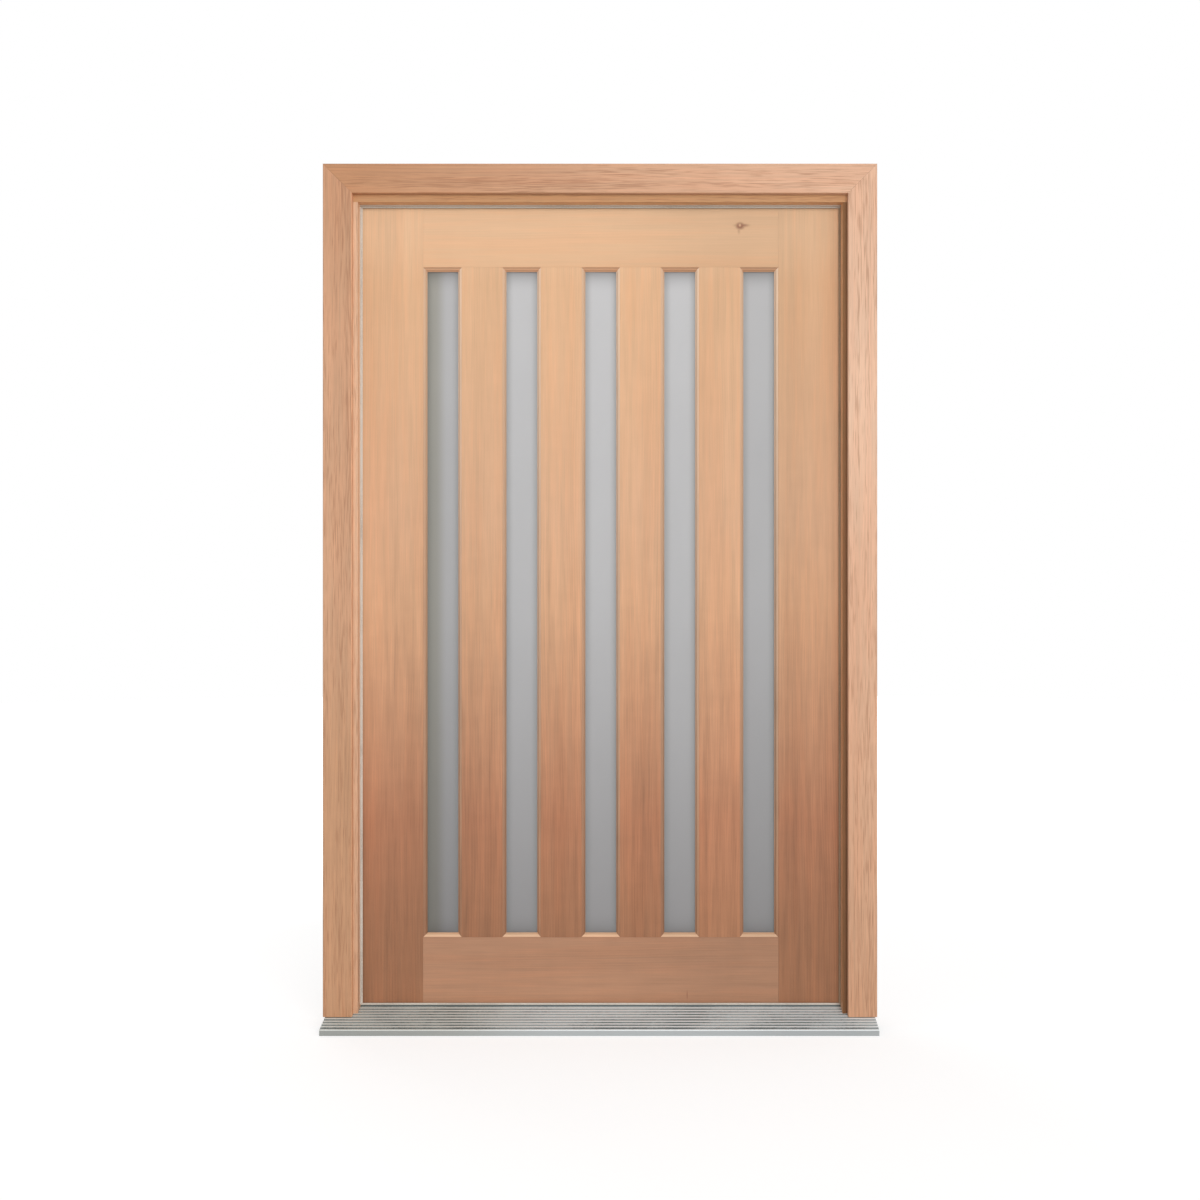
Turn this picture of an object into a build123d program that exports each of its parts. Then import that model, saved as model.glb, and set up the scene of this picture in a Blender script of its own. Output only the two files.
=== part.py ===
from build123d import *
import os
from math import radians, tan

# Glazed timber entrance door: a leaf with a row of tall narrow lights, hung in a rebated frame
# with mitred facings, over a ribbed aluminium sill.
# X runs along the wall, to the right as seen from outside, Y runs into the building and Z is up.
# The origin is on the sill's underside, at the middle of the doorway, in the plane of the facings' backs.
# All sizes are in millimetres, angles in degrees.

# The leaf, an exterior leaf of standard size
leaf_width = 1200
leaf_height = 1980
leaf_thickness = 40
stile_face = 160
top_rail_face = 156
bottom_rail_face = 165
muntin_face = 100
light_count = 5
leaf_arris = 1.5
lock_bevel = 2

# The moulding worked along every bar beside the glass, and the glazing behind it
sticking_width = 9.5
sticking_depth = 15
quirk_depth = 2.2
sight_fillet = 1.5
scribe_gap = 0.2
glass_thickness = 6.4
glass_edge_gap = 3
bead_setback = 2
bead_round = 6
bead_gap = 0.2

# The frame and its facings
jamb_thickness = 40
stop_depth = 47
stop_lap = 7.5
leaf_gap = 5
facing_width = 71
facing_thickness = 20
side_facing_setback = 11
head_facing_setback = 17.5
facing_round = 3
joint_gap = 0.2

# The weather seals on the stops and on the sill's upstand
seal_bulb = 4.5
seal_flange = 1.6
seal_flange_depth = 14
sill_seal_height = 4.2
sill_seal_lap = 4.5

# The sill
sill_projection = 69
sill_nosing = 14.5
sill_fall = 10.8
sill_platform = 36
sill_wall = 3
sill_end_inset = 5
nosing_round = 3
rib_count = 9
rib_width = 6
rib_height = 2
rib_flank = 65
upstand_thickness = 4
floor_gap = 6

# The hinges
hinge_count = 4
hinge_height = 100
hinge_width = 32
hinge_plate = 3
hinge_top_inset = 200
hinge_bottom_inset = 250
barrel_standoff = 1.5
knuckle_count = 5
knuckle_gap = 0.4
pin_diameter = 6
pin_clearance = 0.05
pin_head_diameter = 9
pin_head_height = 2.5
pin_tip_diameter = 6

# Where the leaf stands
leaf_half = leaf_width / 2
leaf_bottom = sill_platform + floor_gap
leaf_top = leaf_bottom + leaf_height
leaf_front = stop_depth + leaf_gap
leaf_back = leaf_front + leaf_thickness
leaf_middle = (leaf_front + leaf_back) / 2

# The lights, between the lines where the mouldings start
sticking_line = leaf_half - stile_face
light_bottom = leaf_bottom + bottom_rail_face
light_top = leaf_top - top_rail_face
light_height = light_top - light_bottom
light_level = (light_top + light_bottom) / 2
light_width = (2 * sticking_line - (light_count - 1) * muntin_face) / light_count
light_pitch = light_width + muntin_face
glass_front = leaf_front + sticking_depth
glass_back = glass_front + glass_thickness
bead_depth = leaf_back - bead_setback - glass_back
ovolo_radius = sticking_width - sight_fillet

# The frame round the leaf
stop_edge = leaf_half - stop_lap
rebate_edge = leaf_half + leaf_gap
jamb_outer = stop_edge + jamb_thickness
jamb_depth = leaf_back
head_stop = leaf_top - stop_lap
head_rebate = leaf_top + leaf_gap
head_outer = head_stop + jamb_thickness
facing_inner = stop_edge + side_facing_setback
facing_outer = facing_inner + facing_width
facing_low = head_stop + head_facing_setback
facing_high = facing_low + facing_width

# The sill's section
sill_half = facing_outer - sill_end_inset
sill_front = -facing_thickness - sill_projection
sill_back = jamb_depth
upstand_back = stop_depth
upstand_front = upstand_back - upstand_thickness
sill_seal_top = leaf_bottom + sill_seal_lap
upstand_top = sill_seal_top - sill_seal_height
rib_pitch = (upstand_front - sill_front) / rib_count
groove_width = rib_pitch - rib_width

# The hinges' pivot, in the gap between leaf and jamb, and their levels
barrel_radius = leaf_gap / 2 + hinge_plate
pivot_x = -(leaf_half + rebate_edge) / 2
pivot_y = leaf_back + barrel_standoff + barrel_radius
knuckle_pitch = hinge_height / knuckle_count
hinge_low = leaf_bottom + hinge_bottom_inset
hinge_rise = (leaf_top - hinge_top_inset - hinge_low) / (hinge_count - 1)


def keep(piece, name):
    """Labels a finished piece and writes it under its own name."""
    piece.part.label = name
    export_step(piece.part, f"parts/{name}.step")


def tread_height(y):
    """Height of the plane of the sill's rib tops at a depth y."""
    return sill_nosing + (y - sill_front) * tan(radians(sill_fall))


def sticking(edge, toward):
    """Section of the moulding beside a bar's edge: quirk, ovolo, sight fillet and glass seat."""
    sight = edge + toward * sticking_width
    ovolo_level = leaf_front + quirk_depth + ovolo_radius
    with BuildSketch() as lip:
        with BuildLine():
            ovolo = CenterArc((edge, ovolo_level), ovolo_radius, 270, toward * 90)
            Polyline(
                ovolo @ 1,
                (sight, ovolo_level),
                (sight, glass_front),
                (edge, glass_front),
                ovolo @ 0,
            )
        make_face()
    return lip.sketch


def moulded_bar(plane, length, low, high, lips, copes=()):
    """A stile, rail or muntin: a flat bar moulded along the edges in lips, coped over the bars it meets."""
    with BuildPart() as bar:
        with BuildSketch(plane):
            with Locations(((low + high) / 2, leaf_middle)):
                Rectangle(high - low, leaf_thickness)
            for edge, toward in lips:
                add(sticking(edge, toward))
        extrude(amount=length)
        for cope in copes:
            add(cope, mode=Mode.SUBTRACT)
    return bar


def upright(low, high, lips, bottom=leaf_bottom, top=leaf_top, copes=()):
    """A moulded bar that stands from bottom to top, low and high being its edges along X."""
    return moulded_bar(Plane.XY.offset(bottom), top - bottom, low, high, lips, copes)


def level_bar(low, high, lips, half_length, copes=()):
    """A moulded bar that lies along X, low and high being the heights of its edges."""
    plane = Plane(origin=(half_length, 0, 0), x_dir=(0, 0, 1), z_dir=(-1, 0, 0))
    return moulded_bar(plane, 2 * half_length, low, high, lips, copes)


def hinge_mortise(face, into):
    """Recesses that let every hinge plate into a timber edge at X = face, cut in the direction into."""
    with BuildPart() as mortise:
        for number in range(hinge_count):
            with Locations((face + into * hinge_plate / 2, leaf_back, hinge_low + number * hinge_rise)):
                Box(
                    hinge_plate,
                    hinge_width + joint_gap,
                    hinge_height + 2 * joint_gap,
                    align=(Align.CENTER, Align.MAX, Align.CENTER),
                )
    return mortise.part


def sill_seat():
    """Everything below the line on which jambs and facings stand, notched over the sill's upstand."""
    front = upstand_front - joint_gap
    back = upstand_back + joint_gap
    notch_top = upstand_top + joint_gap
    with BuildPart() as seat:
        with BuildSketch(Plane.YZ):
            with BuildLine():
                Polyline(
                    (sill_front, 0),
                    (sill_back, 0),
                    (sill_back, sill_platform),
                    (back, sill_platform),
                    (back, notch_top),
                    (front, notch_top),
                    (front, tread_height(front)),
                    (sill_front, sill_nosing),
                    close=True,
                )
            make_face()
        extrude(amount=facing_outer, both=True)
    return seat.part


def side_jamb(side, cuts):
    """A rebated side jamb under the head, with the cuts that its foot and hinges need."""
    with BuildPart() as jamb:
        with BuildSketch(Plane.XY):
            with Locations((side * (stop_edge + jamb_outer) / 2, stop_depth / 2)):
                Rectangle(jamb_thickness, stop_depth)
        extrude(amount=head_stop)
        with BuildSketch(Plane.XY):
            with Locations((side * (rebate_edge + jamb_outer) / 2, (stop_depth + jamb_depth) / 2)):
                Rectangle(jamb_outer - rebate_edge, jamb_depth - stop_depth)
        extrude(amount=head_rebate)
        for cut in cuts:
            add(cut, mode=Mode.SUBTRACT)
    return jamb


def side_facing(side, seat):
    """A side facing board with pencil-round front edges, mitred at the top and cut to the sill."""
    mitre = Plane(origin=(side * facing_inner, 0, facing_low), z_dir=(-side, 0, 1))
    with BuildPart() as facing:
        with BuildSketch(Plane.XY) as section:
            with Locations((side * (facing_inner + facing_outer) / 2, -facing_thickness / 2)):
                Rectangle(facing_width, facing_thickness)
            fillet(section.vertices().group_by(Axis.Y)[0], facing_round)
        extrude(amount=facing_high)
        split(bisect_by=mitre.offset(-joint_gap / 2), keep=Keep.BOTTOM)
        add(seat, mode=Mode.SUBTRACT)
    return facing


def side_seal(side):
    """A strip on a side stop: a flange on the timber and a round bulb towards the leaf."""
    bulb_at = (side * (stop_edge - seal_bulb / 2), stop_depth - seal_bulb / 2)
    foot = sill_seal_top + joint_gap
    with BuildPart() as seal:
        with BuildSketch(Plane.XY.offset(foot)):
            with Locations(bulb_at):
                Circle(seal_bulb / 2)
            with Locations((side * (stop_edge - seal_flange / 2), bulb_at[1])):
                Rectangle(seal_flange, seal_flange_depth, align=(Align.CENTER, Align.MAX))
        extrude(amount=head_stop - seal_bulb - joint_gap - foot)
    return seal


def hinge_half(level, face, into, open_knuckles):
    """One plate of a butt hinge with its own knuckles, the places of the other plate's left open."""
    bottom = level - hinge_height / 2
    notch_half = barrel_radius + knuckle_gap
    with BuildPart() as half:
        with BuildSketch(Plane.XY.offset(bottom)):
            with Locations((pivot_x, pivot_y)):
                Circle(barrel_radius)
            with Locations((face + into * hinge_plate / 2, pivot_y)):
                Rectangle(
                    hinge_plate,
                    hinge_width + pivot_y - leaf_back,
                    align=(Align.CENTER, Align.MAX),
                )
        extrude(amount=hinge_height)
        for knuckle in open_knuckles:
            with Locations((pivot_x, pivot_y, bottom + (knuckle + 0.5) * knuckle_pitch)):
                Box(2 * notch_half, 2 * notch_half, knuckle_pitch + knuckle_gap, mode=Mode.SUBTRACT)
        with Locations((pivot_x, pivot_y, level)):
            Cylinder(pin_diameter / 2 + pin_clearance, hinge_height, mode=Mode.SUBTRACT)
    return half


os.makedirs("parts", exist_ok=True)

# The two stiles run the full height of the leaf, moulded along their inner edges
with BuildPart() as hinge_stile:
    add(upright(-leaf_half, -sticking_line, [(-sticking_line, 1)]).part)
    fillet(hinge_stile.edges().filter_by(Axis.Z).group_by(Axis.X)[0], leaf_arris)
    add(hinge_mortise(-leaf_half, 1), mode=Mode.SUBTRACT)
keep(hinge_stile, "hinge_stile")

# The lock stile's edge leans back towards the outside, so that it clears the jamb as the leaf swings
lock_edge = Plane(origin=(leaf_half, leaf_back, 0), z_dir=(leaf_thickness, -lock_bevel, 0))
with BuildPart() as lock_stile:
    add(upright(sticking_line, leaf_half, [(sticking_line, -1)]).part)
    split(bisect_by=lock_edge, keep=Keep.BOTTOM)
    fillet(lock_stile.edges().filter_by(Axis.Z).sort_by(Axis.X)[-2:], leaf_arris)
keep(lock_stile, "lock_stile")

# The rails are coped over the stiles' mouldings, and the muntins over the rails'
stile_copes = [
    upright(-leaf_half, -sticking_line + scribe_gap, [(-sticking_line + scribe_gap, 1)]).part,
    upright(sticking_line - scribe_gap, leaf_half, [(sticking_line - scribe_gap, -1)]).part,
]
rail_reach = sticking_line + stile_face / 2
top_rail = level_bar(light_top, leaf_top, [(light_top, -1)], rail_reach, stile_copes)
keep(top_rail, "top_rail")
bottom_rail = level_bar(leaf_bottom, light_bottom, [(light_bottom, 1)], rail_reach, stile_copes)
keep(bottom_rail, "bottom_rail")

rail_copes = [
    level_bar(light_top - scribe_gap, leaf_top, [(light_top - scribe_gap, -1)], rail_reach).part,
    level_bar(leaf_bottom, light_bottom + scribe_gap, [(light_bottom + scribe_gap, 1)], rail_reach).part,
]
for number in range(1, light_count):
    middle = (number - light_count / 2) * light_pitch
    low = middle - muntin_face / 2
    high = middle + muntin_face / 2
    muntin = upright(
        low,
        high,
        [(low, -1), (high, 1)],
        light_bottom - bottom_rail_face / 2,
        light_top + top_rail_face / 2,
        rail_copes,
    )
    keep(muntin, f"muntin_{number}")

# Each light has one pane, seated on the mouldings from inside, and four mitred beads behind it
bead_width_over = light_width - 2 * bead_gap
bead_height_over = light_height - 2 * bead_gap
for number in range(1, light_count + 1):
    middle = (number - (light_count + 1) / 2) * light_pitch
    with BuildPart() as glass:
        with Locations((middle, (glass_front + glass_back) / 2, light_level)):
            Box(light_width - 2 * glass_edge_gap, glass_thickness, light_height - 2 * glass_edge_gap)
    keep(glass, f"glass_{number}")

    with BuildPart() as beads:
        with BuildSketch(Plane.XZ.offset(-glass_back)):
            with Locations((middle, light_level)):
                Rectangle(bead_width_over, bead_height_over)
                Rectangle(
                    light_width - 2 * sticking_width,
                    light_height - 2 * sticking_width,
                    mode=Mode.SUBTRACT,
                )
        extrude(amount=-bead_depth)
        fillet(beads.faces().sort_by(Axis.Y)[-1].inner_wires().edges(), bead_round)
        for across in (-1, 1):
            for along in (-1, 1):
                corner = (
                    middle + across * bead_width_over / 2,
                    glass_back + bead_depth / 2,
                    light_level + along * bead_height_over / 2,
                )
                with Locations(Location(corner, (0, 45 * across * along, 0))):
                    Box(joint_gap, 2 * bead_depth, 4 * sticking_width, mode=Mode.SUBTRACT)
    keep(beads, f"glazing_beads_{number}")

# The side jambs stand on the sill, and the head lies over them
seat = sill_seat()
keep(side_jamb(-1, [seat, hinge_mortise(-rebate_edge, -1)]), "left_jamb")
keep(side_jamb(1, [seat]), "right_jamb")
with BuildPart() as head_jamb:
    with BuildSketch(Plane.YZ.offset(-jamb_outer)):
        with Locations((0, head_outer)):
            Rectangle(stop_depth, jamb_thickness, align=(Align.MIN, Align.MAX))
        with Locations((stop_depth, head_outer)):
            Rectangle(jamb_depth - stop_depth, head_outer - head_rebate, align=(Align.MIN, Align.MAX))
    extrude(amount=2 * jamb_outer)
keep(head_jamb, "head_jamb")

# The facings are planted on the frame's outer edge and meet in mitres at the top
keep(side_facing(-1, seat), "left_facing")
keep(side_facing(1, seat), "right_facing")
with BuildPart() as head_facing:
    with BuildSketch(Plane.YZ.offset(-facing_outer)) as section:
        with Locations((-facing_thickness / 2, (facing_low + facing_high) / 2)):
            Rectangle(facing_thickness, facing_width)
        fillet(section.vertices().group_by(Axis.Y)[0], facing_round)
    extrude(amount=2 * facing_outer)
    for side in (-1, 1):
        mitre = Plane(origin=(side * facing_inner, 0, facing_low), z_dir=(-side, 0, 1))
        split(bisect_by=mitre.offset(joint_gap / 2), keep=Keep.TOP)
keep(head_facing, "head_facing")

# The seals run round the stops and along the sill's upstand
keep(side_seal(-1), "left_seal")
keep(side_seal(1), "right_seal")
with BuildPart() as head_seal:
    with BuildSketch(Plane.YZ.offset(-stop_edge)):
        bulb_y = stop_depth - seal_bulb / 2
        with Locations((bulb_y, head_stop - seal_bulb / 2)):
            Circle(seal_bulb / 2)
        with Locations((bulb_y, head_stop)):
            Rectangle(seal_flange_depth, seal_flange, align=(Align.MAX, Align.MAX))
    extrude(amount=2 * stop_edge)
keep(head_seal, "head_seal")
with BuildPart() as sill_seal:
    with BuildSketch(Plane.YZ.offset(-stop_edge)) as section:
        with Locations((upstand_front, upstand_top)):
            Rectangle(upstand_thickness, sill_seal_height, align=(Align.MIN, Align.MIN))
        fillet(section.vertices().group_by(Axis.Y)[-1], upstand_thickness / 3)
    extrude(amount=2 * stop_edge)
keep(sill_seal, "sill_seal")

# The sill is a hollow extrusion: ribbed sloping tread, upstand in front of the leaf, flat under it
with BuildPart() as sill:
    with BuildSketch(Plane.YZ.offset(-sill_half)) as section:
        with BuildLine():
            Polyline(
                (sill_front, 0),
                (sill_back, 0),
                (sill_back, sill_platform),
                (upstand_back, sill_platform),
                (upstand_back, upstand_top),
                (upstand_front, upstand_top),
                (upstand_front, tread_height(upstand_front)),
                (sill_front, sill_nosing),
                close=True,
            )
        make_face()
        fillet(section.vertices().sort_by_distance((sill_front, sill_nosing))[0], nosing_round)
        for number in range(rib_count):
            groove = sill_front + number * rib_pitch + rib_width + groove_width / 2
            with Locations((groove, tread_height(groove))):
                Trapezoid(
                    groove_width,
                    rib_height,
                    rib_flank,
                    rotation=180 + sill_fall,
                    align=(Align.CENTER, Align.MIN),
                    mode=Mode.SUBTRACT,
                )
        for start, end in ((sill_front + sill_wall, -sill_wall), (0, upstand_front)):
            with BuildLine():
                Polyline(
                    (start, sill_wall),
                    (end, sill_wall),
                    (end, tread_height(end) - rib_height - sill_wall),
                    (start, tread_height(start) - rib_height - sill_wall),
                    close=True,
                )
            make_face(mode=Mode.SUBTRACT)
        with Locations((upstand_back, sill_wall)):
            Rectangle(
                sill_back - sill_wall - upstand_back,
                sill_platform - 2 * sill_wall,
                align=(Align.MIN, Align.MIN),
                mode=Mode.SUBTRACT,
            )
    extrude(amount=2 * sill_half)
    # Behind the facings the sill is cut back to the width over the jambs, which leaves a horn at each end
    for side in (-1, 1):
        with Locations((side * (jamb_outer + sill_half) / 2, 0, 0)):
            Box(
                sill_half - jamb_outer,
                sill_back,
                sill_platform + sill_seal_top,
                align=(Align.CENTER, Align.MIN, Align.MIN),
                mode=Mode.SUBTRACT,
            )
keep(sill, "sill")

# Butt hinges: one plate let into the jamb, one into the hinge stile, and a headed pin through both
frame_knuckles = range(0, knuckle_count, 2)
leaf_knuckles = range(1, knuckle_count, 2)
for number in range(1, hinge_count + 1):
    level = hinge_low + (number - 1) * hinge_rise
    keep(hinge_half(level, -rebate_edge, -1, leaf_knuckles), f"hinge_{number}_frame_plate")
    keep(hinge_half(level, -leaf_half, 1, frame_knuckles), f"hinge_{number}_leaf_plate")
    with BuildPart() as pin:
        with Locations((pivot_x, pivot_y, level)):
            Cylinder(pin_diameter / 2, hinge_height)
        for end, turn in ((1, 0), (-1, 180)):
            foot = (pivot_x, pivot_y, level + end * hinge_height / 2)
            with Locations(Location(foot, (turn, 0, 0))):
                Cone(
                    pin_head_diameter / 2,
                    pin_tip_diameter / 2,
                    pin_head_height,
                    align=(Align.CENTER, Align.CENTER, Align.MIN),
                )
    keep(pin, f"hinge_{number}_pin")
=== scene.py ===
from math import pi

import bpy
import numpy as np
from bpy.props import FloatProperty, FloatVectorProperty, IntProperty, PointerProperty
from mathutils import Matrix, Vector


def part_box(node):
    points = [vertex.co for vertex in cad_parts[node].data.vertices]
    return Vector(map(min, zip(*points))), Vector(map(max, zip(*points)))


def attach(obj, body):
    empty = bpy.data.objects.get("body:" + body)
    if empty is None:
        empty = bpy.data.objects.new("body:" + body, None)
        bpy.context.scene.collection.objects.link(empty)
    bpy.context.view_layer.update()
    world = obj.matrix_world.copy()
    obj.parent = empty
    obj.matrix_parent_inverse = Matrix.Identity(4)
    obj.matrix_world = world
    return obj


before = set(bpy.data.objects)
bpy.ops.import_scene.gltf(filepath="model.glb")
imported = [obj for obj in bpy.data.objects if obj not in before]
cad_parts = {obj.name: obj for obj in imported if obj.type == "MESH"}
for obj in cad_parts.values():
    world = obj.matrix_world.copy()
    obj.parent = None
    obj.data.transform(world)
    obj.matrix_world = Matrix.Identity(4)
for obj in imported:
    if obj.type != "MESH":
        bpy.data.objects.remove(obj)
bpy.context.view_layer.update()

bl_info = {
    "name": "Glazed Timber Door",
    "version": (1, 0, 0),
    "blender": (4, 5, 0),
    "location": "3D View > Sidebar > Door",
    "description": "Dresses a glazed timber door and its frame in their finishes and sets them in a studio",
    "category": "Object",
}

# Where the door's pieces stand, in metres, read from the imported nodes
LEAF_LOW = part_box("hinge_stile")[0]
LEAF_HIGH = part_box("lock_stile")[1]
PANE_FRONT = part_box("glass_1")[0].y
SIGHT_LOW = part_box("bottom_rail")[1].z
SIGHT_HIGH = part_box("top_rail")[0].z
SILL_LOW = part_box("sill")[0]
TREAD_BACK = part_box("sill_seal")[0].y
LIGHTS = sum(name.startswith("glass_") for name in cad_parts)
HINGES = sum(name.endswith("_pin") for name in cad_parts)

# Sizes in metres that the boxes of the nodes don't give, and how softly one finish gives way to the next
NOSING_TOP = 0.0145
MOULDING_WIDTH = 0.0095
QUIRK_REACH = 0.0036
PANE_LAP = 0.008
STOP_LAP = 0.012
SOFT_EDGE = 0.001

# A tint that changes nothing
PLAIN = (1.0, 1.0, 1.0)


def tint(red, green, blue):
    """A colour written in screen values from 0 to 255, as the linear values that shaders take."""
    shares = np.array((red, green, blue)) / 255
    linear = np.where(shares > 0.04045, ((shares + 0.055) / 1.055) ** 2.4, shares / 12.92)
    return tuple(linear.tolist())


def colour_setting(name, description, default):
    """A colour that a user may change."""
    return FloatVectorProperty(
        name=name, description=description, subtype="COLOR", size=3, min=0.0, max=1.0, default=default
    )


def share_setting(name, description, default):
    """A share between nothing and all."""
    return FloatProperty(
        name=name, description=description, subtype="FACTOR", min=0.0, max=1.0, default=default
    )


def number_setting(name, description, default):
    """A plain number."""
    return FloatProperty(name=name, description=description, default=default)


def length_setting(name, description, default):
    """A length in metres."""
    return FloatProperty(name=name, description=description, unit="LENGTH", default=default, precision=5)


def place_setting(name, description, default):
    """A point in the door's own frame, in metres."""
    return FloatVectorProperty(
        name=name, description=description, subtype="TRANSLATION", size=3, default=default
    )


class LeafTimberSettings(bpy.types.PropertyGroup):
    """Fine straight-grained timber of the leaf, pale at the head and redder towards the foot: this grading
    by height is painted light and shade.
    """

    # Colours by height and the bottom rail's colour: painted light at the head and crown, painted shade
    # darkening towards the foot
    crown_colour: colour_setting("Crown", "Timber colour along the leaf's top edge", tint(232, 194, 157))
    head_colour: colour_setting("Head", "Timber colour at the top of the lights", tint(223, 179, 140))
    chest_colour: colour_setting("Chest", "Timber colour above half height", tint(216, 171, 136))
    waist_colour: colour_setting("Waist", "Timber colour at half height", tint(211, 164, 128))
    knee_colour: colour_setting("Knee", "Timber colour at a quarter of the height", tint(172, 119, 89))
    foot_colour: colour_setting("Foot", "Timber colour at the leaf's foot", tint(154, 108, 79))
    rail_colour: colour_setting("Bottom rail", "Timber colour of the bottom rail", tint(180, 135, 106))
    # Lit and dim mouldings: painted light and painted shade on one timber, by the side each moulding faces
    lit_head_colour: colour_setting("Lit head", "Top of the mouldings that face left", tint(234, 204, 176))
    lit_foot_colour: colour_setting("Lit foot", "Foot of the mouldings that face left", tint(168, 124, 95))
    dim_head_colour: colour_setting("Dim head", "Top of the mouldings that face right", tint(217, 182, 151))
    dim_foot_colour: colour_setting("Dim foot", "Foot of the mouldings that face right", tint(156, 113, 86))
    # Over: painted shade on the mouldings that face down over the panes; under: painted light on those that
    # face up below them
    over_colour: colour_setting("Over", "Colour of the mouldings over the panes", tint(212, 165, 129))
    under_colour: colour_setting("Under", "Colour of the mouldings under the panes", tint(231, 190, 155))
    # Painted shadow in the sunk quirk line over the panes
    quirk_shade: share_setting("Quirk shade", "How dark the sunk line over the panes is", 0.3)
    flush_tint: colour_setting("Flush", "Tint of the redder patches", (1.0, 0.91, 0.86))
    flush_share: share_setting("Flush share", "How strongly the redder patches show", 0.45)
    rail_figure: share_setting("Rail figure", "How strongly the rails' grain shows", 0.6)
    # Painted shade: the rails darken to the right as the light falls off
    right_shade: share_setting("Right shade", "How far the rails darken to the right", 0.11)
    # Painted light on the lock stile's strip beside the stop, against the shade of the recess
    painted_edge_light: share_setting("Edge lift", "How much paler the shut edge is rubbed", 0.42)
    edge_width: length_setting("Edge width", "Width of the rubbed strip", 0.015)
    knot_colour: colour_setting("Knot", "Colour of the knot and of the drag mark", tint(142, 96, 76))
    knot_place: place_setting("Knot place", "Middle of the knot in the top rail", (0.345, 0.052, 1.968))
    drag_place: place_setting("Drag place", "Middle of the mark in the bottom rail", (0.214, 0.052, 0.064))
    line_spacing: length_setting("Line spacing", "Distance between growth lines", 0.0062)
    line_depth: share_setting("Line depth", "How dark the growth lines are", 0.06)
    band_depth: share_setting("Band depth", "How far broad bands differ", 0.3)
    fibre_depth: share_setting("Fibre depth", "How far single fibres differ", 0.26)
    roughness: share_setting("Roughness", "Roughness of the satin finish", 0.45)


class FrameTimberSettings(bpy.types.PropertyGroup):
    """Open-grained timber of the jambs and facings."""

    left_colour: colour_setting("Left", "Colour of the left facing", tint(209, 163, 129))
    right_colour: colour_setting("Right", "Colour of the right facing", tint(234, 195, 166))
    head_left_colour: colour_setting("Head left", "Colour of the head's left end", tint(194, 142, 104))
    head_right_colour: colour_setting("Head right", "Colour of its right end", tint(224, 181, 151))
    # The jambs are one timber: their colours differ only by painted light and shade
    left_jamb_colour: colour_setting("Left jamb", "Colour of the left jamb", tint(246, 205, 170))
    head_jamb_colour: colour_setting("Head jamb", "Colour of the head", tint(208, 159, 114))
    right_jamb_colour: colour_setting("Right jamb", "Colour of the right jamb", tint(236, 187, 141))
    pore_colour: colour_setting("Pores", "Colour of the open pores", tint(146, 98, 70))
    pore_share: share_setting("Pore share", "How strongly the pores show", 0.44)
    flush_tint: colour_setting("Flush", "Tint of the redder patches", (1.0, 0.9, 0.86))
    flush_share: share_setting("Flush share", "How strongly the redder patches show", 0.5)
    jamb_foot_tint: colour_setting("Jamb foot", "Tint at the foot of the jambs", (0.82, 0.77, 0.73))
    left_foot_tint: colour_setting("Left foot", "Tint at the left facing's foot", (0.88, 0.825, 0.755))
    left_head_tint: colour_setting("Left head", "Tint at the left facing's head", (0.915, 0.865, 0.825))
    right_foot_tint: colour_setting("Right foot", "Tint at the right facing's foot", (0.73, 0.61, 0.52))
    right_waist_tint: colour_setting("Right waist", "Tint at its half height", (0.856, 0.785, 0.734))
    right_head_tint: colour_setting("Right head", "Tint at the right facing's head", (0.926, 0.866, 0.835))
    # Painted highlight on the left facing's inner edge, as if lit from the right
    wear: share_setting("Wear", "How much paler the worn inner edge is", 0.45)
    line_spacing: length_setting("Line spacing", "Distance between growth lines", 0.0085)
    line_depth: share_setting("Line depth", "How dark the growth lines are", 0.12)
    band_depth: share_setting("Band depth", "How far broad bands differ", 0.26)
    fibre_depth: share_setting("Fibre depth", "How far single fibres differ", 0.3)
    roughness: share_setting("Roughness", "Roughness of the satin finish", 0.5)


class PaneSettings(bpy.types.PropertyGroup):
    """Frosted panes, a cool grey that deepens downwards, in painted shade that also darkens their sides and
    ends.
    """

    head_colour: colour_setting("Head", "Colour at the top of the panes", tint(208, 208, 209))
    waist_colour: colour_setting("Waist", "Colour at half height", tint(193, 193, 194))
    foot_colour: colour_setting("Foot", "Colour at the foot of the panes", tint(155, 154, 155))
    edge_colour: colour_setting("Edge", "Cool colour along the panes' edges", tint(128, 134, 132))
    edge_width: length_setting("Edge width", "How far the edge colour reaches in", 0.019)
    edge_share: share_setting("Edge share", "How strongly the edge colour shows", 0.34)
    end_width: length_setting("End width", "How far the shade at a pane's ends reaches in", 0.052)
    head_shade: share_setting("Head shade", "How dark the panes are at their head", 0.43)
    foot_shade: share_setting("Foot shade", "How dark the panes are at their foot", 0.26)
    veil_tint: colour_setting("Veil", "Tint of the first pane's shaded side", (0.73, 0.71, 0.63))
    veil_width: length_setting("Veil width", "How far the shaded side reaches in", 0.057)
    transmission: share_setting("Transmission", "How much light passes through", 0.3)
    roughness: share_setting("Roughness", "How strongly the frosting scatters", 0.55)


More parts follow.
